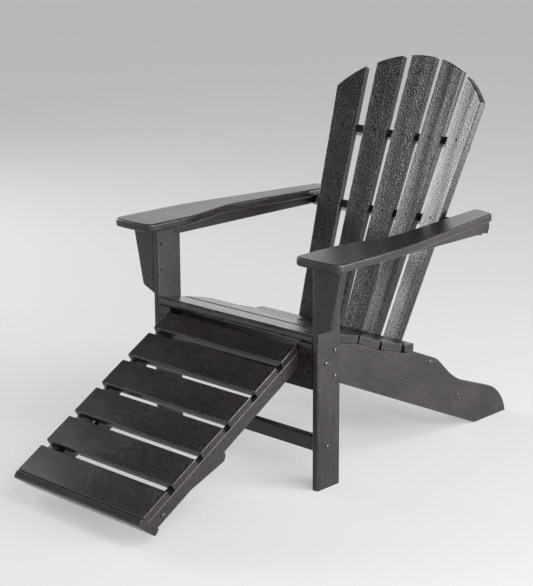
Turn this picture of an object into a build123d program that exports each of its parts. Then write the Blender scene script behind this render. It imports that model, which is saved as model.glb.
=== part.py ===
from build123d import *

import os
from math import asin, atan2, cos, degrees, hypot, radians, sin, tan

# Adirondack chair with a pull-out leg rest, in millimetres. X runs across the chair, Y from
# front to back and Z up. The origin is on the floor, in the middle of the chair's outline.
# Side outlines are drawn in (y, z), with y = 0 at the front faces of the front legs.

# overall sizes
seat_width = 543.2  # between the inner faces of the front legs
seat_height = 376.0  # underside of the front seat slat
arm_height = 600.0  # top of the arms
back_length = 771.0  # crown of the back, measured up the slats from the seat
tail_length = 241.0  # from the heels forward to the root of the stringers' tails

# boards
board = 22.0  # stringers, rails, stretchers and seat slats
leg_board = 20.0
leg_depth = 84.0
edge_round = 3.0
leg_round = 6.0  # upright edges of the front legs
end_round = 2.5  # cut ends of the slats
fit = 0.5  # between pieces that stand beside each other without touching

# seat
slat_width = 85.0
slat_gap = 8.5
slat_tilts = (10.1, 13.7, 22.7, 16.4)
last_slat_width = 38.0
last_slat_tilt = 4.0
last_slat_drop = 3.0
slat_front = 2.0
slat_round = 4.0
nose_round = 9.5

# stringers
nose_drop = 87.0  # from the front slat's underside to the lower front corner
foot_length = 145.0
neck_length = 113.0  # from the seat's rear edge to the bend behind it
neck_slope = 22.7
neck_round = 80.0
drop_length = 110.0  # from that bend to the root of the tail
drop_slope = 43.0
tail_slope = 19.9
tail_top = 168.0  # length of the tail's straight top
tail_round = 220.0
toe_round = 40.0

# back
back_tilt = 22.9
back_set_back = 36.0  # from the seat's rear edge to the back's reference line
back_drop = 1.5
back_hollow = 33.7  # depth of the middle slat's face behind the reference line
back_bend = 904.0  # radius of the hollow
back_slat_board = 20.0
back_slat_foot_width = 56.0
back_slat_top_width = 85.0
back_foot_inset = 106.6  # outer slats' centres at the foot, from the stringers' inner faces
back_top_inset = 35.6  # and at the crown
back_fan = ((0.0, 0.0), (0.455, 0.505), (1.0, 1.0))  # slats' places between middle and outer
back_slat_foot = 75.0  # length below the seat
crown_fall = 124.8  # from the crown down to the outer slats' outer corners
crown_round = 3.5
upper_rail_drop = 228.0  # below the crown
upper_rail_rear = 86.0
upper_rail_tuck = 40.0  # ends inside the outer slats' outer edges
tie_drop = 26.4  # its ends' centre below the arms
tie_end_inset = 13.0  # screw from the tie's rear edge
tie_rear = 110.0
tie_shoulder = 26.0
foot_rail_height = -46.5
foot_rail_rear = 94.0
rail_bite = 2.0  # how far the rails' hollow edges reach in before the slats' seats are cut

# arms
arm_board = 22.0
arm_overhang = 101.4  # outer edge outside the legs' outer faces
arm_inset = 20.0  # inner edge inside the legs' inner faces
arm_front = 50.0
arm_front_bow = 6.0
arm_bow_round = 400.0
arm_past_tie = 31.2
arm_side_length = 208.0  # straight part of the outer edge
arm_side_round = 1300.0
arm_front_length = 118.0  # straight part of the inner edge
arm_front_round = 260.0
arm_waist_y = 290.0
arm_waist_round = 330.0
arm_rear_skew = 22.0
arm_taper = 78.0  # outer edge, from the front to the rear
arm_waist = 16.4  # inner edge outside the legs' inner faces, at the waist
arm_rear_width = 73.0
arm_corner = 20.0
arm_round = 5.5
arm_rear_round = 14.0
arm_rail_depth = 29.0
arm_rail_end_round = 14.0
bracket_board = 24.0
bracket_top = 73.4
bracket_foot = 39.4
bracket_height = 158.0
bracket_bevel = 16.0

# apron and stretchers
sill_height = 45.5
rest_play = 2.0  # between the leg rest and each side of the opening in the apron
stretcher_height = 38.0
stretcher_bottom = 90.0
stretcher_set_back = 26.0
rear_stretcher_height = 60.0
rear_stretcher_forward = 228.5  # from the heels
rear_stretcher_rise = 65.0  # centre above the stringers' lower edge

# leg rest, drawn in (along, down): along its slope from the seat, and down from its top
rest_side_gap = 2.6  # between the leg rest and the guide battens
rest_drop = 5.4  # below the front seat slat
rest_floor_gap = 15.0  # its low edge above the floor
rest_slat_board = 20.0
rest_slat_width = 88.0
rest_slat_gap = 17.5
rest_slat_count = 6
rest_start = 8.0
rest_first_width = 64.5
rest_first_round = 6.0
rest_rail_depth = 36.0
rest_rail_round = 12.0
end_board = 20.0
end_board_height = 66.6
end_board_lean = 22.7
end_board_gap = 21.0  # from the last slat to the end board's top edge
end_board_drop = 7.0
end_board_round = 5.0
raise_angle = 20.0

# pins of the leg rest, between battens on the stringers
pin_radius = 5.0
pin_down = 46.0
pin_to_end = 20.8
pin_fit = 0.5
batten_board = 20.0
batten_height = 16.0
batten_rear_gap = 14.0

# folding support legs of the leg rest
support_board = 21.0
support_width = 36.0
support_gap = 1.0
support_hang = 9.6
support_back = 48.0  # pivot, from the last slat's lower edge
support_down = 41.5
support_floor_gap = 1.0

# screws and bolts
screw_radius = 2.25
screw_head = 4.5
screw_sink = 2.6
screw_reach = 38.0
screw_socket = 1.9
screw_inset = 11.0  # from the ends of the slats
screw_shares = (0.22, 0.62)  # places across a slat's width
rest_screw_inset = 8.0
rest_screw_shares = (0.28, 0.72)
board_screw_inset = 16.0
bolt_radius = 4.0
bolt_head = 6.5
bolt_rise = 3.0
bolt_socket = 2.9
leg_bolt_reach = 40.0
stringer_bolt_reach = 60.0
nut_width = 13.0
nut_height = 6.0
bolt_fit = 0.25

half = seat_width / 2
leg_outer = half + leg_board
leg_top = arm_height - arm_board
stringer_inner = half - board
rest_half = stringer_inner - batten_board - rest_side_gap


def heading(slope):
    """Direction (y, z) of a line that runs to the rear and down at this slope."""
    return (cos(radians(slope)), -sin(radians(slope)))


def shift(point, direction, distance):
    return (point[0] + direction[0] * distance, point[1] + direction[1] * distance)


def seat_lines():
    """Top edge of each seat slat from front to rear, as its two ends and its tilt."""
    tilts = slat_tilts + (last_slat_tilt,)
    widths = (slat_width,) * len(slat_tilts) + (last_slat_width,)
    start = (slat_front, seat_height + board * cos(radians(tilts[0])))
    lines = []
    for tilt, width, following in zip(tilts, widths, tilts[1:] + (last_slat_tilt,)):
        end = shift(start, heading(tilt), width)
        lines.append((start, end, tilt))
        start = shift(end, heading((tilt + following) / 2), slat_gap)
        if following == last_slat_tilt:
            start = (start[0], start[1] - last_slat_drop)
    return lines


def below(tilt):
    """Direction straight down through a slat of this tilt."""
    return (-sin(radians(tilt)), -cos(radians(tilt)))


seat = seat_lines()
seat_rear = seat[-1][1]
seat_under = [shift(point, below(tilt), board) for *ends, tilt in seat for point in ends]

# stringers: the lower edge rises straight from the toe to the nose, behind the apron
neck = shift(seat_under[-1], heading(neck_slope), neck_length)
tail_root = shift(neck, heading(drop_slope), drop_length)
heel_y = tail_root[0] + tail_length
tail_end = shift(tail_root, heading(tail_slope), tail_top)
toe = (heel_y - foot_length, 0.0)
nose = (board, seat_height - nose_drop)
nose_top = seat_under[0][1] - (board - seat_under[0][0]) * tan(radians(slat_tilts[0]))
lower_slope = degrees(atan2(nose[1], toe[0] - nose[0]))


def lower_edge(y):
    return nose[1] * (toe[0] - y) / (toe[0] - nose[0])


rear_stretcher_y = heel_y - rear_stretcher_forward
rear_stretcher_z = lower_edge(rear_stretcher_y) + rear_stretcher_rise

# the back's own frame: u up the slats, and w to the rear of the reference line
back_origin = (seat_rear[0] + back_set_back, seat_rear[1] - back_drop)
back_sin = sin(radians(back_tilt))
back_cos = cos(radians(back_tilt))


def back_side(u, w):
    """Side outline point (y, z) of a point in the back's frame."""
    return (
        back_origin[0] + u * back_sin + w * back_cos,
        back_origin[1] + u * back_cos - w * back_sin,
    )


def hollow(x):
    """Depth w of the slats' front faces at this distance from the middle."""
    return back_hollow - x * x / (2 * back_bend)


# the tie between the arm rails, just under the arms
tie_w = tie_rear - tie_end_inset
tie_height = (leg_top - tie_drop - back_origin[1] + tie_w * back_sin) / back_cos
tie_end = back_side(tie_height, tie_w)
tie_back_y = back_side(tie_height, tie_rear)[0]
arm_rear = tie_back_y + arm_past_tie
arm_rail_rear = tie_back_y
upper_rail_height = back_length - upper_rail_drop


# the leg rest's own frame
rest_top = seat_height - rest_drop
rest_pitch = rest_slat_width + rest_slat_gap
rest_slats = [(rest_start + rest_first_width, rest_first_width)]
for _ in range(1, rest_slat_count):
    rest_slats.append((rest_slats[-1][0] + rest_pitch, rest_slat_width))
rest_end = rest_slats[-1][0]
board_face = (-sin(radians(end_board_lean)), cos(radians(end_board_lean)))
board_inward = (-board_face[1], board_face[0])
board_top = (rest_end + end_board_gap, end_board_drop)
board_low = shift(board_top, board_face, end_board_height)
rest_slope = asin((rest_top - rest_floor_gap) / hypot(*board_low)) - atan2(board_low[1], board_low[0])
rest_cos = cos(rest_slope)
rest_sin = sin(rest_slope)


def rest_side(s, d):
    """Side outline point (y, z) of a point in the leg rest's frame."""
    return (-s * rest_cos + d * rest_sin, rest_top - s * rest_sin - d * rest_cos)


rail_under = rest_slat_board + rest_rail_depth
sill = rest_side(0, rail_under)[1] - rail_under * rest_sin * rest_sin / rest_cos - fit
apron_bottom = sill - sill_height
pin_s = (pin_down * rest_sin - board - pin_radius - pin_fit) / rest_cos
pin_point = rest_side(pin_s, pin_down)
pivot_s = rest_end - support_back
pivot_point = rest_side(pivot_s, support_down)

# raised, the support legs stand upright under their pivots
raised_slope = rest_slope - radians(raise_angle)
raised_pivot = (
    pin_point[1] - (pivot_s - pin_s) * sin(raised_slope) - (support_down - pin_down) * cos(raised_slope)
)
support_reach = raised_pivot - support_floor_gap

# the foremost point is on the end board's rounded top edge
front_arc = shift(shift(board_top, board_face, end_board_round), board_inward, end_board_round)
front_y = rest_side(*front_arc)[0] - end_board_round
middle = (front_y + heel_y) / 2


def side(x):
    """Plane of side outlines at x, drawn in (y, z)."""
    return Plane(origin=(x, -middle, 0), x_dir=(0, 1, 0), z_dir=(1, 0, 0))


def front(y):
    """Plane of front outlines at y, drawn in (x, z) and facing forward."""
    return Plane(origin=(0, y - middle, 0), x_dir=(1, 0, 0), z_dir=(0, -1, 0))


def level(z):
    """Plane of outlines seen from above at z, drawn in (x, y)."""
    return Plane(origin=(0, -middle, z), x_dir=(1, 0, 0), z_dir=(0, 0, 1))


def across_back(u):
    """Plane square to the back at u, drawn in (x, w)."""
    y, z = back_side(u, 0)
    return Plane(origin=(0, y - middle, z), x_dir=(1, 0, 0), z_dir=(0, back_sin, back_cos))


def on_rest(x):
    """Plane of the leg rest's outlines at x, drawn in (along, -down)."""
    y, z = rest_side(0, 0)
    return Plane(origin=(x, y - middle, z), x_dir=(0, -rest_cos, -rest_sin), z_dir=(-1, 0, 0))


def outline(plane, points, rounds):
    """Closed outline with each corner rounded, by one radius or by a list of them."""
    with BuildSketch(plane) as drawn:
        with BuildLine():
            FilletPolyline(*points, radius=rounds, close=True)
        make_face()
    return drawn.sketch


def strip(start, end, depth_direction, depth):
    """Four corners of a board seen end on, from its top line and its thickness."""
    return [start, end, shift(end, depth_direction, depth), shift(start, depth_direction, depth)]


def soften(piece, axis, radius):
    """Round the edges of a board's two broad faces."""
    faces = piece.faces().sort_by(axis)
    fillet(faces[0].edges() + faces[-1].edges(), radius)


def seat_on(x, point, direction):
    """Place of a screw or bolt: its head's seat, and the way it is driven, in (x, y, z)."""
    return Plane(origin=(x, point[0] - middle, point[1]), z_dir=direction).location


def screw_form(reach, socket):
    """Countersunk screw along +Z from its seat, with or without a socket in its head."""
    with BuildPart() as form:
        Cone(screw_head, screw_radius, screw_sink, align=(Align.CENTER, Align.CENTER, Align.MIN))
        Cylinder(screw_radius, reach, align=(Align.CENTER, Align.CENTER, Align.MIN))
        if socket:
            with BuildSketch(Plane.XY):
                RegularPolygon(screw_socket, 6)
            extrude(amount=screw_sink / 2, mode=Mode.SUBTRACT)
    return form.part


def bolt_form(reach, socket, slack=0.0):
    """Button-headed bolt along +Z from its seat, or the hole that it goes into."""
    with BuildPart() as form:
        Cylinder(bolt_radius + slack, reach, align=(Align.CENTER, Align.CENTER, Align.MIN))
        if socket:
            Cylinder(bolt_head, bolt_rise, align=(Align.CENTER, Align.CENTER, Align.MAX))
            fillet(form.edges().sort_by(Axis.Z)[0], bolt_rise * 0.7)
            with BuildSketch(Plane.XY.offset(-bolt_rise)):
                RegularPolygon(bolt_socket, 6)
            extrude(amount=bolt_rise * 0.6, mode=Mode.SUBTRACT)
    return form.part


def placed(form, places):
    """Copies of a form at each place, as one tool for cutting holes."""
    with BuildPart() as group:
        with Locations(*places):
            add(form)
    return group.part


def write(piece, label):
    piece.part.label = label
    export_step(piece.part, f"parts/{label}.step")


os.makedirs("parts", exist_ok=True)
sides = (("left", -1), ("right", 1))

# where the screws go
seat_places = []
for start, end, tilt in seat:
    width = hypot(end[0] - start[0], end[1] - start[1])
    for share in screw_shares if width > last_slat_width else (0.5,):
        spot = shift(start, heading(tilt), width * share)
        for _, hand in sides:
            seat_places.append(seat_on(hand * (half - screw_inset), spot, (0, *below(tilt))))

rest_places = []
for low, width in rest_slats:
    for share in rest_screw_shares:
        spot = rest_side(low - width * share, 0)
        for _, hand in sides:
            x = hand * (rest_half - rest_screw_inset)
            rest_places.append(seat_on(x, spot, (0, rest_sin, -rest_cos)))
board_drive = (
    -board_inward[0] * rest_cos + board_inward[1] * rest_sin,
    -board_inward[0] * rest_sin - board_inward[1] * rest_cos,
)
for _, hand in sides:
    spot = rest_side(*shift(board_top, board_face, end_board_height / 2))
    rest_places.append(seat_on(hand * (rest_half - board_screw_inset), spot, (0, *board_drive)))

apron_places = []
for _, hand in sides:
    for height in (seat_height - 27, apron_bottom + 42):
        apron_places.append(seat_on(hand * (half - board / 2), (0, height), (0, 1, 0)))

arm_places = []
for _, hand in sides:
    for y in (120.0, 350.0, 560.0):
        spot = (y, leg_top - arm_rail_depth)
        arm_places.append(seat_on(hand * (leg_outer + leg_board / 2), spot, (0, 0, 1)))

arm_rail_places = []
for _, hand in sides:
    for y, z in (
        (leg_depth - 18, leg_top - arm_rail_depth / 2),
        (bracket_board / 2, leg_top - 40),
        (bracket_board / 2, leg_top - bracket_height * 0.7),
    ):
        arm_rail_places.append(seat_on(hand * half, (y, z), (hand, 0, 0)))
    arm_rail_places.append(seat_on(hand * (leg_outer + leg_board), tie_end, (-hand, 0, 0)))

leg_bolt_places = []
for _, hand in sides:
    for y, z in (
        (leg_depth - 20, seat_height - 24.6),
        (31, seat_height - 52.8),
        (leg_depth - 20.5, seat_height - 90.6),
        (stretcher_set_back + board / 2, stretcher_bottom + stretcher_height / 2),
    ):
        leg_bolt_places.append(seat_on(hand * leg_outer, (y, z), (-hand, 0, 0)))

foot_rail_spot = back_side(foot_rail_height, foot_rail_rear - 37)
stringer_bolt_places = []
for _, hand in sides:
    for spot in (foot_rail_spot, (rear_stretcher_y, rear_stretcher_z)):
        stringer_bolt_places.append(seat_on(hand * half, spot, (-hand, 0, 0)))

screw = screw_form(screw_reach, True)
screw_hole = screw_form(screw_reach, False)
leg_bolt = bolt_form(leg_bolt_reach, True)
leg_bolt_hole = bolt_form(leg_bolt_reach, False)
stringer_bolt = bolt_form(stringer_bolt_reach, True)
stringer_bolt_hole = bolt_form(stringer_bolt_reach, False)

seat_holes = placed(screw_hole, seat_places)
rest_holes = placed(screw_hole, rest_places)
apron_holes = placed(screw_hole, apron_places)
arm_holes = placed(screw_hole, arm_places)
arm_rail_holes = placed(screw_hole, arm_rail_places)
leg_holes = placed(leg_bolt_hole, leg_bolt_places)
stringer_holes = placed(stringer_bolt_hole, stringer_bolt_places)


# front legs
for name, hand in sides:
    with BuildPart() as front_leg:
        inner, outer = sorted((hand * half, hand * leg_outer))
        with BuildSketch(level(0)):
            with Locations(((inner + outer) / 2, leg_depth / 2)):
                RectangleRounded(leg_board, leg_depth, leg_round)
        extrude(amount=leg_top)
        add(leg_holes, mode=Mode.SUBTRACT)
        add(arm_rail_holes, mode=Mode.SUBTRACT)
    write(front_leg, f"front_leg_{name}")

# guide battens, above and below the path of the leg rest's pins
guide = heading(lower_slope)
guide_up = (-guide[1], guide[0])
pin_room = pin_radius + pin_fit
batten_end = heel_y - rear_stretcher_forward - board / 2 - batten_rear_gap
batten_lines = {}
for row, rise in (("upper", pin_room + batten_height), ("lower", -pin_room)):
    corner = shift(pin_point, guide_up, rise)
    first = shift(corner, guide, (board + fit + batten_height * -guide[1] - corner[0]) / guide[0])
    last = shift(corner, guide, (batten_end - corner[0]) / guide[0])
    batten_lines[row] = (first, last)

batten_places = []
for first, last in batten_lines.values():
    for share in (0.08, 0.5, 0.92):
        spot = (
            first[0] + (last[0] - first[0]) * share - guide_up[0] * batten_height / 2,
            first[1] + (last[1] - first[1]) * share - guide_up[1] * batten_height / 2,
        )
        for _, hand in sides:
            batten_places.append(seat_on(hand * (stringer_inner - batten_board), spot, (hand, 0, 0)))
batten_holes = placed(screw_hole, batten_places)

for name, hand in sides:
    for row, (first, last) in batten_lines.items():
        with BuildPart() as batten:
            ends = sorted((hand * (stringer_inner - batten_board), hand * stringer_inner))
            corners = strip(first, last, (-guide_up[0], -guide_up[1]), batten_height)
            extrude(outline(side(ends[0]), corners, 2.0), amount=batten_board)
            add(batten_holes, mode=Mode.SUBTRACT)
        write(batten, f"guide_batten_{row}_{name}")

# side stringers
for name, hand in sides:
    with BuildPart() as stringer:
        with BuildSketch(side(min(hand * half, hand * stringer_inner))):
            with BuildLine():
                FilletPolyline(
                    seat_under[-1], neck, tail_root, tail_end, radius=(neck_round, tail_round)
                )
                TangentArc(tail_end, (heel_y, 0), tangent=heading(tail_slope))
                FilletPolyline((heel_y, 0), toe, nose, radius=(toe_round,))
                Polyline(nose, (board, nose_top), *seat_under[1:])
            make_face()
        extrude(amount=board)
        soften(stringer, Axis.X, edge_round)
        for holes in (seat_holes, apron_holes, leg_holes, stringer_holes, batten_holes):
            add(holes, mode=Mode.SUBTRACT)
    write(stringer, f"side_stringer_{name}")

# seat slats
for number, (start, end, tilt) in enumerate(seat, 1):
    with BuildPart() as seat_slat:
        corners = strip(start, end, below(tilt), board)
        rounds = [slat_round] * 4
        if number == 1:
            rounds = [nose_round, slat_round, slat_round, nose_round]
        extrude(outline(side(-half), corners, rounds), amount=seat_width)
        soften(seat_slat, Axis.X, end_round)
        add(seat_holes, mode=Mode.SUBTRACT)
    write(seat_slat, f"seat_slat_{number}")

# front apron, open above its sill for the leg rest
opening = rest_half + rest_play
with BuildPart() as front_apron:
    corners = [
        (-half, apron_bottom),
        (half, apron_bottom),
        (half, seat_height + board),
        (opening, seat_height + board),
        (opening, sill),
        (-opening, sill),
        (-opening, seat_height + board),
        (-half, seat_height + board),
    ]
    extrude(outline(front(board), corners, (0, 0, 0, 0, 3, 3, 0, 0)), amount=board)
    underside = Plane(
        origin=(0, seat_under[0][0] - middle, seat_under[0][1]),
        z_dir=(0, sin(radians(slat_tilts[0])), cos(radians(slat_tilts[0]))),
    )
    split(bisect_by=underside, keep=Keep.BOTTOM)
    add(apron_holes, mode=Mode.SUBTRACT)
    add(seat_holes, mode=Mode.SUBTRACT)
write(front_apron, "front_apron")

# stretchers
with BuildPart() as front_stretcher:
    low = (stretcher_set_back, stretcher_bottom)
    corners = strip(low, (low[0] + board, low[1]), (0, 1), stretcher_height)
    extrude(outline(side(-half), corners, edge_round), amount=seat_width)
    add(leg_holes, mode=Mode.SUBTRACT)
write(front_stretcher, "front_stretcher")

with BuildPart() as rear_stretcher:
    low = (rear_stretcher_y - board / 2, rear_stretcher_z - rear_stretcher_height / 2)
    corners = strip(low, (low[0] + board, low[1]), (0, 1), rear_stretcher_height)
    extrude(outline(side(-stringer_inner), corners, edge_round), amount=2 * stringer_inner)
    add(stringer_holes, mode=Mode.SUBTRACT)
write(rear_stretcher, "rear_stretcher")


# back slats, each flat on its own plane, and fanned from the seat to the crown
foot_spread = stringer_inner - back_foot_inset
top_spread = stringer_inner - back_top_inset
crown_half = top_spread + back_slat_top_width / 2
crown_radius = (crown_half**2 + crown_fall**2) / (2 * crown_fall)
crown_centre = back_length - crown_radius


def crown(x):
    """Height u of the crown's arc at this distance from the middle."""
    return crown_centre + (crown_radius**2 - x * x) ** 0.5


def slat_point(x, u):
    """Point on the line that the slats' front faces follow, in the part's frame."""
    y, z = back_side(u, hollow(x))
    return Vector(x, y - middle, z)


def slat_plane(foot_x, top_x):
    """Plane of a slat's front face, drawn in (across, up) from the slat's foot."""
    foot = slat_point(foot_x, -back_slat_foot)
    rise = (slat_point(top_x, crown(top_x)) - foot).normalized()
    bend = -(foot_x + top_x) / 2 / back_bend
    spread = Vector(1, bend * back_cos, -bend * back_sin)
    forward = spread.cross(rise).normalized()
    return Plane(origin=foot, x_dir=rise.cross(forward), z_dir=forward)


slats = sorted(
    (hand * foot_share * foot_spread, hand * top_share * top_spread)
    for foot_share, top_share in back_fan
    for hand in ((-1, 1) if foot_share else (1,))
)

back_places = []
for foot_x, top_x in slats:
    face = slat_plane(foot_x, top_x)
    for height in (foot_rail_height, tie_height, upper_rail_height):
        share = (height + back_slat_foot) / (crown(top_x) + back_slat_foot)
        spot = face.origin + (slat_point(top_x, crown(top_x)) - face.origin) * share
        back_places.append(Plane(origin=spot, z_dir=-face.z_dir).location)
back_holes = placed(screw_hole, back_places)

back_slats = []
for number, (foot_x, top_x) in enumerate(slats, 1):
    face = slat_plane(foot_x, top_x)
    reach = slat_point(top_x, crown(top_x)) - face.origin
    fan = atan2(top_x - foot_x, crown(top_x) + back_slat_foot)
    crown_drop = crown(top_x) - crown_centre
    arc_across = crown_drop * sin(fan) - top_x * cos(fan)
    arc_up = reach.length - crown_drop * cos(fan) - top_x * sin(fan)
    with BuildPart() as back_slat:
        tops = []
        for across in (-back_slat_top_width / 2, 0, back_slat_top_width / 2):
            rise = (crown_radius**2 - (across - arc_across) ** 2) ** 0.5
            tops.append((across, arc_up + rise))
        with BuildSketch(face):
            with BuildLine():
                ThreePointArc(*tops)
                Polyline(
                    tops[2],
                    (back_slat_foot_width / 2, 0),
                    (-back_slat_foot_width / 2, 0),
                    tops[0],
                )
            make_face()
        extrude(amount=-back_slat_board)
        corners = back_slat.edges().filter_by(Axis(face.origin, face.z_dir))
        fillet(corners.sort_by(Axis(face.origin, reach))[-2:], crown_round)
        soften(back_slat, Axis(face.origin, face.z_dir), edge_round)
        add(back_holes, mode=Mode.SUBTRACT)
    write(back_slat, f"back_slat_{number}")
    back_slats.append(back_slat.part)


# back rails, hollowed to follow the slats' rear faces
def rail_outline(height, half_length, rear):
    """Board square to the back, from the slats' rear faces to a straight rear edge."""
    ends = hollow(half_length) + back_slat_board - rail_bite
    with BuildSketch(across_back(height - board / 2)) as drawn:
        with BuildLine():
            ThreePointArc(
                (-half_length, ends), (0, hollow(0) + back_slat_board - rail_bite), (half_length, ends)
            )
            FilletPolyline(
                (half_length, ends), (half_length, rear), (-half_length, rear), (-half_length, ends),
                radius=(8.0, 8.0),
            )
        make_face()
    return drawn.sketch


rail_share = (upper_rail_height + back_slat_foot) / (crown(top_spread) + back_slat_foot)
upper_rail_half = (
    foot_spread + back_slat_foot_width / 2
    + (crown_half - foot_spread - back_slat_foot_width / 2) * rail_share
    - upper_rail_tuck
)
with BuildPart() as back_upper_rail:
    extrude(rail_outline(upper_rail_height, upper_rail_half, upper_rail_rear), amount=board)
    for slat in back_slats:
        add(slat, mode=Mode.SUBTRACT)
    add(back_holes, mode=Mode.SUBTRACT)
write(back_upper_rail, "back_upper_rail")

with BuildPart() as back_foot_rail:
    extrude(rail_outline(foot_rail_height, stringer_inner, foot_rail_rear), amount=board)
    for slat in back_slats:
        add(slat, mode=Mode.SUBTRACT)
    add(back_holes, mode=Mode.SUBTRACT)
    add(stringer_holes, mode=Mode.SUBTRACT)
write(back_foot_rail, "back_foot_rail")

# the tie's ends pass under the arms, so its front corners are cut back there
tie_top = tie_height + board / 2
shoulder_w = (back_origin[1] + tie_top * back_cos - leg_top + fit) / back_sin
shoulder_x = half - arm_inset - tie_shoulder
with BuildPart() as back_arm_tie:
    extrude(rail_outline(tie_height, leg_outer, tie_rear), amount=board)
    for _, hand in sides:
        corners = [
            (hand * shoulder_x, hollow(shoulder_x)),
            (hand * (shoulder_x + tie_shoulder), shoulder_w),
            (hand * (leg_outer + 1), shoulder_w),
            (hand * (leg_outer + 1), hollow(leg_outer) - 1),
        ]
        shoulder = outline(across_back(tie_height - board / 2), corners, 0)
        extrude(shoulder, amount=board, mode=Mode.SUBTRACT)
    for slat in back_slats:
        add(slat, mode=Mode.SUBTRACT)
    add(back_holes, mode=Mode.SUBTRACT)
    add(arm_rail_holes, mode=Mode.SUBTRACT)
write(back_arm_tie, "back_arm_tie")

# arms, with the rail and the bracket under each of them
arm_outer = leg_outer + arm_overhang
arm_inner = half - arm_inset
waist = half + arm_waist
for name, hand in sides:
    with BuildPart() as arm:
        rear_outer = arm_outer - arm_taper
        rear_inner = rear_outer - arm_rear_width
        corners = [
            (hand * arm_inner, -arm_front + arm_front_bow),
            (hand * (arm_inner + arm_outer) / 2, -arm_front),
            (hand * arm_outer, -arm_front + arm_front_bow),
            (hand * arm_outer, arm_side_length),
            (hand * rear_outer, arm_rear - arm_rear_skew),
            (hand * rear_inner, arm_rear),
            (hand * waist, arm_waist_y),
            (hand * arm_inner, arm_front_length),
        ]
        rounds = (
            arm_corner, arm_bow_round, arm_corner, arm_side_round,
            arm_corner, arm_rear_round, arm_waist_round, arm_front_round,
        )
        extrude(outline(level(leg_top), corners, rounds), amount=arm_board)
        soften(arm, Axis.Z, arm_round)
        add(arm_holes, mode=Mode.SUBTRACT)
    write(arm, f"arm_{name}")

    with BuildPart() as arm_rail:
        corners = [
            (bracket_board, leg_top),
            (arm_rail_rear, leg_top),
            (arm_rail_rear, leg_top - arm_rail_depth),
            (bracket_board, leg_top - arm_rail_depth),
        ]
        inner = min(hand * leg_outer, hand * (leg_outer + leg_board))
        rounds = (0, edge_round, arm_rail_end_round, 0)
        extrude(outline(side(inner), corners, rounds), amount=leg_board)
        soften(arm_rail, Axis.X, end_round)
        add(arm_holes, mode=Mode.SUBTRACT)
        add(arm_rail_holes, mode=Mode.SUBTRACT)
    write(arm_rail, f"arm_rail_{name}")

    with BuildPart() as arm_bracket:
        corners = [
            (hand * leg_outer, leg_top),
            (hand * (leg_outer + bracket_top), leg_top),
            (hand * (leg_outer + bracket_foot), leg_top - bracket_height),
            (hand * leg_outer, leg_top - bracket_height - bracket_bevel),
        ]
        extrude(outline(front(bracket_board), corners, (0, 4, 14, 0)), amount=bracket_board)
        soften(arm_bracket, Axis.Y, edge_round)
        add(arm_rail_holes, mode=Mode.SUBTRACT)
    write(arm_bracket, f"arm_bracket_{name}")

# leg rest
with BuildPart() as leg_rest_end_board:
    corners = [
        (s, -d) for s, d in strip(board_top, board_low, board_inward, end_board)
    ]
    rounds = (end_board_round, end_board_round, edge_round, edge_round)
    extrude(outline(on_rest(rest_half), corners, rounds), amount=2 * rest_half)
    soften(leg_rest_end_board, Axis.X, end_round)
    add(rest_holes, mode=Mode.SUBTRACT)
write(leg_rest_end_board, "leg_rest_end_board")

for number, (low, width) in enumerate(rest_slats, 1):
    with BuildPart() as leg_rest_slat:
        high = low - width
        corners = [(high, 0), (low, 0), (low, -rest_slat_board), (high, -rest_slat_board)]
        high_round = rest_first_round if number == 1 else slat_round
        rounds = (high_round, slat_round, slat_round, slat_round)
        extrude(outline(on_rest(rest_half), corners, rounds), amount=2 * rest_half)
        soften(leg_rest_slat, Axis.X, end_round)
        add(leg_rest_end_board.part, mode=Mode.SUBTRACT)
        add(rest_holes, mode=Mode.SUBTRACT)
    write(leg_rest_slat, f"leg_rest_slat_{number}")

rail_start = pin_s - pin_to_end
pivot_places = []
pin_places = []
for _, hand in sides:
    pivot_places.append(seat_on(hand * rest_half, pivot_point, (-hand, 0, 0)))
    pin_places.append(seat_on(hand * (rest_half - board), pin_point, (hand, 0, 0)))
support_inner = rest_half - board - support_gap - support_board
pivot_reach = rest_half - support_inner + nut_height + fit
pin_reach = stringer_inner - fit - rest_half + board

for name, hand in sides:
    with BuildPart() as leg_rest_rail:
        corners = [
            (rail_start, -rest_slat_board),
            (rest_end, -rest_slat_board),
            (rest_end, -rail_under),
            (rail_start, -rail_under),
        ]
        outer = max(hand * rest_half, hand * (rest_half - board))
        rounds = (rest_rail_round, 0, 0, rest_rail_round)
        extrude(outline(on_rest(outer), corners, rounds), amount=board)
        soften(leg_rest_rail, Axis.X, end_round)
        add(leg_rest_end_board.part, mode=Mode.SUBTRACT)
        add(rest_holes, mode=Mode.SUBTRACT)
        add(placed(bolt_form(pivot_reach, False), pivot_places), mode=Mode.SUBTRACT)
        with Locations(*pin_places):
            Cylinder(
                pin_radius, board, align=(Align.CENTER, Align.CENTER, Align.MIN), mode=Mode.SUBTRACT
            )
    write(leg_rest_rail, f"leg_rest_rail_{name}")

with BuildPart() as leg_rest_pins:
    with Locations(*pin_places):
        Cylinder(pin_radius, pin_reach, align=(Align.CENTER, Align.CENTER, Align.MIN))
    tips = leg_rest_pins.edges().group_by(Axis.X)
    chamfer(tips[0] + tips[-1], 1.0)
write(leg_rest_pins, "leg_rest_pins")

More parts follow.
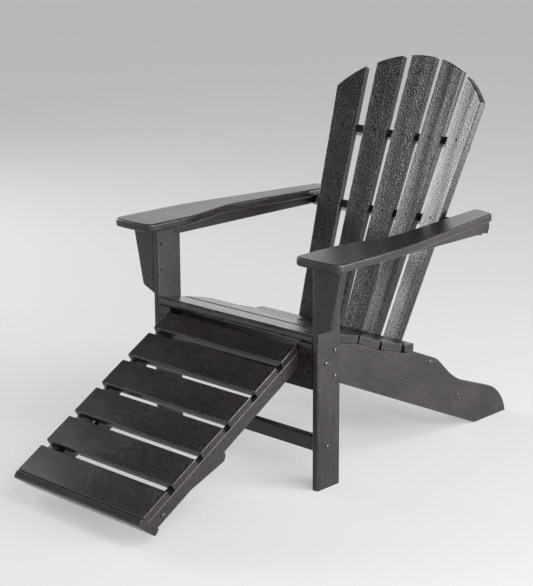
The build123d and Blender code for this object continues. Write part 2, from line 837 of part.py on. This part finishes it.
# support legs, hinged beside the rails and folded up the slope
hang = radians(support_hang)
support_line = (-cos(hang), sin(hang))
support_square = (sin(hang), cos(hang))
for name, hand in sides:
    with BuildPart() as support_leg:
        tail = shift((pivot_s, support_down), support_line, -support_width / 2)
        tip = shift((pivot_s, support_down), support_line, support_reach)
        corners = []
        for end, reach in ((tail, -0.5), (tip, -0.5), (tip, 0.5), (tail, 0.5)):
            s, d = shift(end, support_square, support_width * reach)
            corners.append((s, -d))
        outer = max(hand * support_inner, hand * (support_inner + support_board))
        rounded = support_width / 2 - 0.5
        extrude(outline(on_rest(outer), corners, rounded), amount=support_board)
        soften(support_leg, Axis.X, end_round)
        add(
            placed(bolt_form(pivot_reach, False, bolt_fit), pivot_places), mode=Mode.SUBTRACT
        )
    write(support_leg, f"support_leg_{name}")

with BuildPart() as support_leg_bolts:
    with Locations(*pivot_places):
        add(bolt_form(pivot_reach, True))
write(support_leg_bolts, "support_leg_bolts")

with BuildPart() as support_leg_nuts:
    for _, hand in sides:
        nut_face = support_inner - fit
        start = max(hand * nut_face, hand * (nut_face - nut_height))
        y, z = pivot_point
        with BuildSketch(Plane(origin=(start, y - middle, z), z_dir=(-1, 0, 0))):
            RegularPolygon(nut_width / 2, 6, major_radius=False)
            Circle(bolt_radius, mode=Mode.SUBTRACT)
        extrude(amount=nut_height)
write(support_leg_nuts, "support_leg_nuts")

# screws and bolts
with BuildPart() as seat_screws:
    with Locations(*seat_places):
        add(screw)
write(seat_screws, "seat_screws")

with BuildPart() as back_screws:
    with Locations(*back_places):
        add(screw)
write(back_screws, "back_screws")

with BuildPart() as arm_screws:
    with Locations(*arm_places):
        add(screw)
write(arm_screws, "arm_screws")

with BuildPart() as arm_rail_screws:
    with Locations(*arm_rail_places):
        add(screw)
write(arm_rail_screws, "arm_rail_screws")

with BuildPart() as apron_screws:
    with Locations(*apron_places):
        add(screw)
write(apron_screws, "apron_screws")

with BuildPart() as guide_screws:
    with Locations(*batten_places):
        add(screw)
write(guide_screws, "guide_screws")

with BuildPart() as leg_rest_screws:
    with Locations(*rest_places):
        add(screw)
write(leg_rest_screws, "leg_rest_screws")

with BuildPart() as leg_bolts:
    with Locations(*leg_bolt_places):
        add(leg_bolt)
write(leg_bolts, "leg_bolts")

with BuildPart() as stringer_bolts:
    with Locations(*stringer_bolt_places):
        add(stringer_bolt)
write(stringer_bolts, "stringer_bolts")

swing = 90 + degrees(raised_slope) - support_hang
print(f"pins at y {pin_point[0] - middle:.3f}, z {pin_point[1]:.3f}")
print(f"support pivots at y {pivot_point[0] - middle:.3f}, z {pivot_point[1]:.3f}")
print(f"leg rest slope {degrees(rest_slope):.3f}, support swing {swing:.3f}")
print(f"length {heel_y - front_y:.2f}, legs' front faces at y {-middle:.3f}")
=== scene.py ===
from math import cos, pi, radians, sin

import bpy
import numpy as np
from mathutils import Matrix, Vector

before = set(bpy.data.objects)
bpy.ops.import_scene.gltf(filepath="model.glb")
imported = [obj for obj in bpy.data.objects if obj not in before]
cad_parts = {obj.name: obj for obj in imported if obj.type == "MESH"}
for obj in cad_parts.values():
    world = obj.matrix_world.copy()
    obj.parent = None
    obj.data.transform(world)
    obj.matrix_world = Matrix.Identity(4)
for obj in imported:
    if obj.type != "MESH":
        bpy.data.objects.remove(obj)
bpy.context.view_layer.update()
scene = bpy.context.scene
print("frame loaded:", len(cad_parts), "nodes")


camera = {
    "lens": 98.18,
    "aim": (0.0795, -0.1012, 0.4614),
    "distance": 4.0,
    "azimuth": 43.52,
    "elevation": 14.90,
    "roll": -0.27,
}


def placeCamera(view):
    turn, lift, roll = (radians(view[key]) for key in ("azimuth", "elevation", "roll"))
    back = Vector((sin(turn) * cos(lift), -cos(turn) * cos(lift), sin(lift)))
    level = Vector((cos(turn), sin(turn), 0))
    rise = back.cross(level)
    across = level * cos(roll) + rise * sin(roll)
    up = rise * cos(roll) - level * sin(roll)
    lens = bpy.data.cameras.new("studioCamera")
    lens.lens = view["lens"]
    lens.sensor_width = 36
    holder = bpy.data.objects.new("studioCamera", lens)
    scene.collection.objects.link(holder)
    turned = Matrix((across, up, back)).transposed().to_4x4()
    holder.matrix_world = Matrix.Translation(Vector(view["aim"]) + back * view["distance"]) @ turned
    scene.camera = holder


placeCamera(camera)
print("camera placed")


class Wire:
    # one shader socket; each operator adds one Math node
    def __init__(self, finish, socket):
        self.finish = finish
        self.socket = socket

    def sum(self, operation, *values):
        settings = {"operation": operation}
        return self.finish.node("ShaderNodeMath", settings, dict(enumerate(values)))

    def __add__(self, other):
        return self.sum("ADD", self, other)

    def __radd__(self, other):
        return self.sum("ADD", other, self)

    def __sub__(self, other):
        return self.sum("SUBTRACT", self, other)

    def __rsub__(self, other):
        return self.sum("SUBTRACT", other, self)

    def __mul__(self, other):
        return self.sum("MULTIPLY", self, other)

    def __rmul__(self, other):
        return self.sum("MULTIPLY", other, self)

    def clip(self, low, high):
        # 0 below low, 1 above high, a smooth step between
        return self.finish.node(
            "ShaderNodeMapRange",
            {"interpolation_type": "SMOOTHSTEP"},
            {"Value": self, "From Min": low, "From Max": high},
        )


class Finish:
    # the nodes of a material or of the sky
    def __init__(self, owner):
        owner.use_nodes = True
        self.owner = owner
        self.nodes = owner.node_tree.nodes
        self.links = owner.node_tree.links
        self.nodes.clear()

    def node(self, kind, settings=None, inputs=None, output=0):
        made = self.nodes.new(kind)
        for name, value in (settings or {}).items():
            setattr(made, name, value)
        for name, value in (inputs or {}).items():
            if isinstance(value, Wire):
                self.links.new(value.socket, made.inputs[name])
            else:
                made.inputs[name].default_value = value
        return Wire(self, made.outputs[output]) if made.outputs else None

    def noise(self, place, scale, detail=2.0, roughness=0.5):
        inputs = {"Vector": place, "Scale": scale, "Detail": detail, "Roughness": roughness}
        return self.node("ShaderNodeTexNoise", {"noise_dimensions": "3D"}, inputs, "Fac")

    def blend(self, factor, low, high):
        # sockets 6 and 7 are the Mix node's two colours
        inputs = {0: factor, 6: low, 7: high}
        return self.node("ShaderNodeMix", {"data_type": "RGBA"}, inputs, 2)

    def close(self, bsdf):
        self.node("ShaderNodeOutputMaterial", None, {"Surface": bsdf})
        return self.owner


lumber = {
    "dark": (0.0050, 0.0040, 0.0034, 1),
    "light": (0.0205, 0.0172, 0.0150, 1),
    "worn": (0.085, 0.083, 0.082, 1),
    "roughness": 0.29,
    "streakLength": 14.0,   # streaks per metre along the grain
    "streakWidth": 330.0,   # and across it
    "bandLength": 1.3,      # broad rolls in the board's face, the same way
    "bandWidth": 24.0,
    "pebble": 240.0,        # blotches per metre
    "cloud": 7.0,           # broad changes of colour per metre
    "cloudShare": 0.2,      # of the colour, and the grain has the rest
    "tone": (0.42, 0.60),   # from dark to light
    "grainDepth": 0.0011,
    "edge": (0.25, 0.95),   # where a rounded edge begins and is full
    "edgeWear": 0.5,
    "wearPatches": (0.35, 0.65),
    "edgePolish": 0.07,
    "grainRoughness": 0.35,
    "cloudRoughness": 0.12,
    "ior": 1.5,
}

# each kind of board: depth of the streaks, the pebbles and the bands, change of roughness
surfaces = {
    "seat": {"streak": 0.60, "pebble": 0.35, "band": 0.8, "roughness": -0.10},
    "back": {"streak": 0.25, "pebble": 1.30, "band": 1.6, "roughness": -0.05},
    "smoothBack": {"streak": 0.25, "pebble": 0.60, "band": 2.4, "roughness": -0.03},
    "rest": {"streak": 0.25, "pebble": 0.35, "band": 0.6, "roughness": -0.07},
    "arm": {"streak": 0.15, "pebble": 0.25, "band": 0.5, "roughness": 0.00},
    "side": {"streak": 0.15, "pebble": 0.20, "band": 0.4, "roughness": 0.05},
}

kinds = {
    "seat_slat": "seat",
    "back_slat_4": "smoothBack",
    "back_slat_5": "smoothBack",
    "back_slat": "back",
    "leg_rest_slat": "rest",
    "leg_rest_end": "rest",
    "front_apron": "rest",
    "arm_left": "arm",
    "arm_right": "arm",
}


# how a board's faces are read
reading = {
    "sameWay": 0.985,       # cosine between faces that count as one direction
    "manyFaces": 4000,      # from here only the largest faces are tried
    "largest": 400,
}


def boardAxes(node):
    # thickness: the face direction that holds the most area
    # grain: the longest spread of the corners at right angles to it
    mesh = node.data
    points = np.empty(len(mesh.vertices) * 3)
    mesh.vertices.foreach_get("co", points)
    points = points.reshape(-1, 3)
    areas = np.empty(len(mesh.polygons))
    mesh.polygons.foreach_get("area", areas)
    normals = np.empty(len(mesh.polygons) * 3)
    mesh.polygons.foreach_get("normal", normals)
    normals = normals.reshape(-1, 3)
    tried = normals
    if len(normals) >= reading["manyFaces"]:
        tried = normals[np.argsort(-areas)[:reading["largest"]]]
    alike = np.abs(normals @ tried.T) > reading["sameWay"]
    best = tried[np.argmax(areas @ alike)]
    centre = (points.min(axis=0) + points.max(axis=0)) / 2
    spread = points - points.mean(axis=0)
    spread = spread - np.outer(spread @ best, best)
    along = np.linalg.svd(spread, full_matrices=False)[2][0]
    along = along - best * (along @ best)
    along = along / np.linalg.norm(along)
    if along[np.argmax(np.abs(along))] < 0:
        along = -along
    return centre, np.array((along, np.cross(best, along), best))


def stretch(finish, place, pattern):
    # draws a pattern out along the grain
    width = lumber[pattern + "Width"]
    scale = (lumber[pattern + "Length"], width, width)
    return finish.node("ShaderNodeMapping", {"vector_type": "POINT"}, {"Vector": place, "Scale": scale})


def lumberFinish(node, kind):
    look = surfaces[kind]
    centre, axes = boardAxes(node)
    turn = Matrix(axes.tolist())
    finish = Finish(bpy.data.materials.new(node.name + "Board"))
    where = finish.node("ShaderNodeTexCoord", None, None, "Object")
    facing = Wire(finish, where.socket.node.outputs["Normal"])
    place = finish.node(
        "ShaderNodeMapping",
        {"vector_type": "POINT"},
        {"Vector": where, "Location": -(turn @ Vector(centre)), "Rotation": turn.to_euler()},
    )
    streak = finish.noise(stretch(finish, place, "streak"), 1.0, 3.0, 0.6)
    band = finish.noise(stretch(finish, place, "band"), 1.0, 1.0, 0.4)
    pebble = finish.noise(place, lumber["pebble"], 2.0, 0.55)
    cloud = finish.noise(place, lumber["cloud"], 2.0, 0.5)
    toFace = finish.node(
        "ShaderNodeVectorMath",
        {"operation": "DOT_PRODUCT"},
        {0: facing, 1: tuple(axes[2])},
        "Value",
    )
    square = toFace * toFace
    edge = (square * (1 - square) * 4).clip(*lumber["edge"])   # full half-way round a rounded edge
    wear = edge * (pebble * 0.5 + streak * 0.5).clip(*lumber["wearPatches"]) * lumber["edgeWear"]

    grain = streak * look["streak"] + pebble * look["pebble"]
    height = grain + band * look["band"]
    grainShare = (1 - lumber["cloudShare"]) / (look["streak"] + look["pebble"])
    tone = grain * grainShare + cloud * lumber["cloudShare"]
    body = finish.blend(tone.clip(*lumber["tone"]), lumber["dark"], lumber["light"])
    colour = finish.blend(wear, body, lumber["worn"])
    roughness = (
        lumber["roughness"] + look["roughness"]
        + (pebble - 0.5) * (lumber["grainRoughness"] * look["pebble"])
        + (streak - 0.5) * (lumber["grainRoughness"] * look["streak"])
        + (cloud - 0.5) * lumber["cloudRoughness"]
        - edge * lumber["edgePolish"]
    )
    bump = finish.node(
        "ShaderNodeBump",
        None,
        {"Height": height, "Strength": 1.0, "Distance": lumber["grainDepth"]},
    )
    board = finish.node(
        "ShaderNodeBsdfPrincipled",
        None,
        {"Base Color": colour, "Roughness": roughness, "Normal": bump, "IOR": lumber["ior"]},
    )
    return finish.close(board)


def kindOf(name):
    for start, kind in kinds.items():
        if name.startswith(start):
            return kind
    return "side"


metalWords = ("screws", "bolts", "nuts", "pins")
for name, node in sorted(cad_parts.items()):
    if not name.endswith(metalWords):
        made = lumberFinish(node, kindOf(name))
        for slot in node.material_slots:
            slot.material = made
print("boards finished")


metals = {
    "bolts": {"colour": (0.15, 0.148, 0.144, 1), "roughness": 0.30},
    "nuts": {"colour": (0.30, 0.295, 0.285, 1), "roughness": 0.34},
    "pins": {"colour": (0.30, 0.295, 0.285, 1), "roughness": 0.32},
    "screws": {"colour": (0.030, 0.029, 0.028, 1), "roughness": 0.38},
}


steel = {
    "brush": 900.0,         # fine marks per metre
    "brushDepth": 0.00005,
    "brushRoughness": 0.2,
    "tarnish": 160.0,       # dull patches per metre
    "tarnishEdge": (0.4, 0.7),
    "tarnishRoughness": 0.15,
    "dulled": 0.6,          # share of the colour that a dull patch keeps
}


def metalFinish(name, look):
    finish = Finish(bpy.data.materials.new(name + "Steel"))
    where = finish.node("ShaderNodeTexCoord", None, None, "Object")
    brush = finish.noise(where, steel["brush"], 3.0, 0.6)
    tarnish = finish.noise(where, steel["tarnish"], 2.0, 0.5)
    dull = tuple(value * steel["dulled"] for value in look["colour"][:3]) + (1,)
    colour = finish.blend(tarnish.clip(*steel["tarnishEdge"]), look["colour"], dull)
    roughness = (
        look["roughness"]
        + (brush - 0.5) * steel["brushRoughness"]
        + (tarnish - 0.5) * steel["tarnishRoughness"]
    )
    bump = finish.node(
        "ShaderNodeBump", None, {"Height": brush, "Strength": 0.6, "Distance": steel["brushDepth"]}
    )
    metal = finish.node(
        "ShaderNodeBsdfPrincipled",
        None,
        {"Base Color": colour, "Roughness": roughness, "Normal": bump, "Metallic": 1.0},
    )
    return finish.close(metal)


for word, look in metals.items():
    made = metalFinish(word, look)
    for name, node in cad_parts.items():
        if name.endswith(word):
            for slot in node.material_slots:
                slot.material = made
print("hardware finished")


studio = {
    "floorSize": 40.0,
    "floorGlow": 0.35,      # the paper is lit from behind as well
    "floorShade": (0.35, 0.35, 0.35, 1),
    "sky": 0.14,            # strength overhead
    "horizon": 1.7,         # and at the horizon
    "skyRise": (-0.02, 0.6),
}


def layFloor(look):
    # a square sheet: both parameters run from minus to plus half the size
    half = look["floorSize"] / 2
    u, v = np.meshgrid(np.linspace(-half, half, 3), np.linspace(-half, half, 3), indexing="ij")
    points = np.stack((u, v, np.zeros_like(u)), axis=-1).reshape(-1, 3)
    corner = np.arange(2)[:, None] * 3 + np.arange(2)
    faces = np.stack((corner, corner + 3, corner + 4, corner + 1), axis=-1).reshape(-1, 4)
    mesh = bpy.data.meshes.new("studioFloor")
    mesh.from_pydata(points, [], faces.tolist())
    floor = bpy.data.objects.new("studioFloor", mesh)
    scene.collection.objects.link(floor)
    finish = Finish(bpy.data.materials.new("studioFloor"))
    paper = finish.node(
        "ShaderNodeBsdfPrincipled",
        None,
        {
            "Base Color": look["floorShade"],
            "Roughness": 0.9,
            "Specular IOR Level": 0.1,
            "Emission Color": (1, 1, 1, 1),
            "Emission Strength": look["floorGlow"],
        },
    )
    mesh.materials.append(finish.close(paper))


layFloor(studio)

# soft boxes: size, power, where each stands, what it points at
softBoxes = {
    "leftHigh": {"size": (2.3, 1.3), "power": 125, "at": (-4.2, -0.6, 1.95), "aim": (0, 0.2, 0.7)},
    "rightWall": {"size": (2.6, 2.0), "power": 260, "at": (4.2, 2.0, 1.2), "aim": (0.2, 0.2, 0.3)},
    "overShoulder": {"size": (3.0, 2.4), "power": 150, "at": (4.1, -1.5, 2.0), "aim": (0, 0, 0.5)},
    "overhead": {"size": (1.8, 1.8), "power": 60, "at": (2.2, 0.3, 3.4), "aim": (0, -0.2, 0.3)},
}


def hangLight(name, look):
    lamp = bpy.data.lights.new(name, "AREA")
    lamp.shape = "RECTANGLE"
    lamp.size, lamp.size_y = look["size"]
    lamp.energy = look["power"]
    holder = bpy.data.objects.new(name, lamp)
    scene.collection.objects.link(holder)
    away = Vector(look["at"]) - Vector(look["aim"])
    holder.matrix_world = Matrix.Translation(look["at"]) @ away.to_track_quat("Z", "Y").to_matrix().to_4x4()


for name, look in softBoxes.items():
    hangLight(name, look)


def paintSky(look):
    world = bpy.data.worlds.new("studioSky")
    scene.world = world
    sky = Finish(world)
    where = sky.node("ShaderNodeTexCoord", None, None, "Generated")
    height = sky.node("ShaderNodeSeparateXYZ", None, {"Vector": where}, "Z")
    rise = height.clip(*look["skyRise"])
    strength = look["horizon"] + rise * (look["sky"] - look["horizon"])
    light = sky.node(
        "ShaderNodeBackground", None, {"Color": (1, 1, 1, 1), "Strength": strength}
    )
    sky.node("ShaderNodeOutputWorld", None, {"Surface": light})


paintSky(studio)
scene.view_settings.view_transform = "Standard"
print("studio lit")
